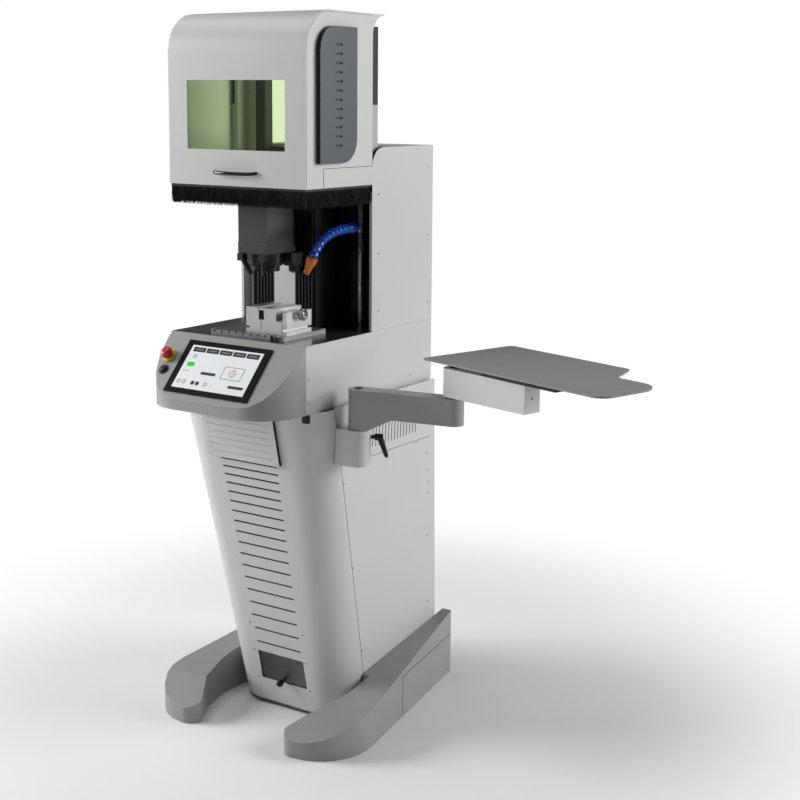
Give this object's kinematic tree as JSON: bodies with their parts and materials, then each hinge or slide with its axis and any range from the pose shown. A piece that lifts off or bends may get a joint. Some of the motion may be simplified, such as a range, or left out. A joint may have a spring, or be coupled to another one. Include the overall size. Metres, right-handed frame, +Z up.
{
  "type": "laser engraver",
  "caption": "Free-standing laser engraver: tapered pedestal on splayed feet, slanted touch console, lifting hood with brush skirt, scan head over a vise, and a folding laptop arm.",
  "frame": {"origin": "middle of the pedestal's footprint, on the floor, 6 mm under the base plate's underside", "axes": "+Z up, -Y towards the user at the console, +X towards the laptop arm"},
  "size_m": [1.3415, 0.799, 1.821],
  "materials": {
    "painted_steel": "fine-textured light warm grey powder coat",
    "grey_paint": "fine-textured mid grey powder coat",
    "arm_paint": "mid grey powder coat on aluminium",
    "table_top": "black anodised, satin",
    "steel": "machined",
    "mast": "anodised",
    "chrome": "polished",
    "black_plastic": "moulded, matt",
    "black_gloss": "high gloss",
    "charcoal": "dark painted casting, satin",
    "equipment": "dark painted case",
    "yellow": "moulded",
    "red": "moulded, semi-gloss",
    "blue_grey": "dark blue-grey satin",
    "laser_glass": "green tinted laser-safe pane",
    "display": "lit display glass",
    "hose_blue": "moulded, semi-gloss",
    "nozzle_orange": "moulded, semi-gloss",
    "bristle": "black nylon bristles"
  },
  "bodies": {
    "cabinet": {"air_hose": "hose_blue", "arm_bracket": "arm_paint", "back_panel": "black_gloss", "base_plate": "steel", "column_side_left": "painted_steel", "column_side_right": "painted_steel", "console_nose": "grey_paint", "console_side_left": "painted_steel", "console_side_right": "painted_steel", "display": "display", "drawer_runner": "steel", "equipment_shelf": "steel", "filter_cover": "painted_steel", "foot_left": "grey_paint", "foot_right": "grey_paint", "front_shell": "painted_steel", "hood_rail_left": "chrome", "hood_rail_right": "chrome", "laser_source": "equipment", "lift_drive": "mast", "pedestal_top": "steel", "power_inlet": "black_plastic", "power_supply": "equipment", "rear_cover": "painted_steel", "rear_panel": "painted_steel", "screen_bezel": "black_plastic", "side_panel_left": "painted_steel", "side_panel_right": "painted_steel", "slide_column": "charcoal", "slotted_plate": "steel", "stop_collar": "yellow", "vise_base": "steel", "work_table": "table_top"},
    "hood": {"hood_shell": "painted_steel", "hood_window": "laser_glass", "hood_inset_left": "blue_grey", "hood_inset_right": "blue_grey", "hood_handle": "black_plastic", "hood_mast_left": "mast", "hood_mast_right": "mast", "brush_front": "bristle", "brush_left": "bristle", "brush_right": "bristle"},
    "head": {"scan_head": "charcoal", "scan_lens": "charcoal", "head_carriage": "charcoal", "pointer_left": "charcoal", "pointer_right": "charcoal"},
    "drawer": {"dust_drawer": "grey_paint", "drawer_knob": "black_plastic"},
    "stop": {"stop_button": "red"},
    "start": {"start_button": "black_plastic"},
    "switch": {"switch_rocker": "black_plastic"},
    "jaw": {"vise_jaw": "steel"},
    "screw": {"vise_screw": "chrome"},
    "lever": {"clamp_lever": "black_plastic"},
    "nozzle": {"hose_nozzle": "nozzle_orange"},
    "lower_arm": {"arm_lower": "arm_paint"},
    "upper_arm": {"arm_upper": "arm_paint"},
    "tray": {"laptop_tray": "arm_paint"}
  },
  "joints": [
    {"name": "hood_slide", "type": "slide", "parent": "cabinet", "child": "hood", "axis": [0, 0, 1], "range_m": [-0.3217, 0]},
    {"name": "head_lift", "type": "slide", "parent": "cabinet", "child": "head", "axis": [0, 0, 1], "range_m": [-0.05, 0.045]},
    {"name": "drawer_slide", "type": "slide", "parent": "cabinet", "child": "drawer", "axis": [0, -1, 0], "range_m": [0, 0.15]},
    {"name": "stop_press", "type": "slide", "parent": "cabinet", "child": "stop", "axis": [0, 0.7328, -0.6805], "range_m": [0, 0.004], "stiffness_N_per_m": 600},
    {"name": "start_press", "type": "slide", "parent": "cabinet", "child": "start", "axis": [0, 0.7328, -0.6805], "range_m": [0, 0.002], "stiffness_N_per_m": 600},
    {"name": "rocker_tilt", "type": "hinge", "parent": "cabinet", "child": "switch", "pos_m": [-0.055, 0.18904, 0.27947], "axis": [1, 0, 0], "range_deg": [-5, 5]},
    {"name": "vise_screw_turn", "type": "hinge", "parent": "cabinet", "child": "screw", "pos_m": [0.126, -0.33532, 1.0926], "axis": [1, 0, 0], "range_deg": [-1400, 1760]},
    {"name": "vise_jaw_slide", "type": "slide", "parent": "cabinet", "child": "jaw", "axis": [1, 0, 0], "range_m": [-0.0155, 0.0195]},
    {"name": "nozzle_turn", "type": "hinge", "parent": "cabinet", "child": "nozzle", "pos_m": [0.12678, -0.28139, 1.22745], "axis": [-0.3691, -0.1107, -0.9228], "continuous": true},
    {"name": "lever_turn", "type": "hinge", "parent": "cabinet", "child": "lever", "pos_m": [0.29764, -0.27113, 0.797], "axis": [0.8829, 0.4695, 0], "range_deg": [-70, 70]},
    {"name": "shoulder_turn", "type": "hinge", "parent": "cabinet", "child": "lower_arm", "pos_m": [0.27, -0.28582, 0.867], "axis": [0, 0, 1], "range_deg": [-60, 30]},
    {"name": "elbow_turn", "type": "hinge", "parent": "lower_arm", "child": "upper_arm", "pos_m": [0.51702, -0.24731, 0.956], "axis": [0, 0, 1], "range_deg": [-50, 50]},
    {"name": "tray_turn", "type": "hinge", "parent": "upper_arm", "child": "tray", "pos_m": [0.71056, -0.29773, 0.997], "axis": [0, 0, 1], "range_deg": [-75, 90]}
  ],
  "couplings": [
    {"joint": "vise_screw_turn", "follows": "vise_jaw_slide", "rad_per_m": 1570.8}
  ]
}
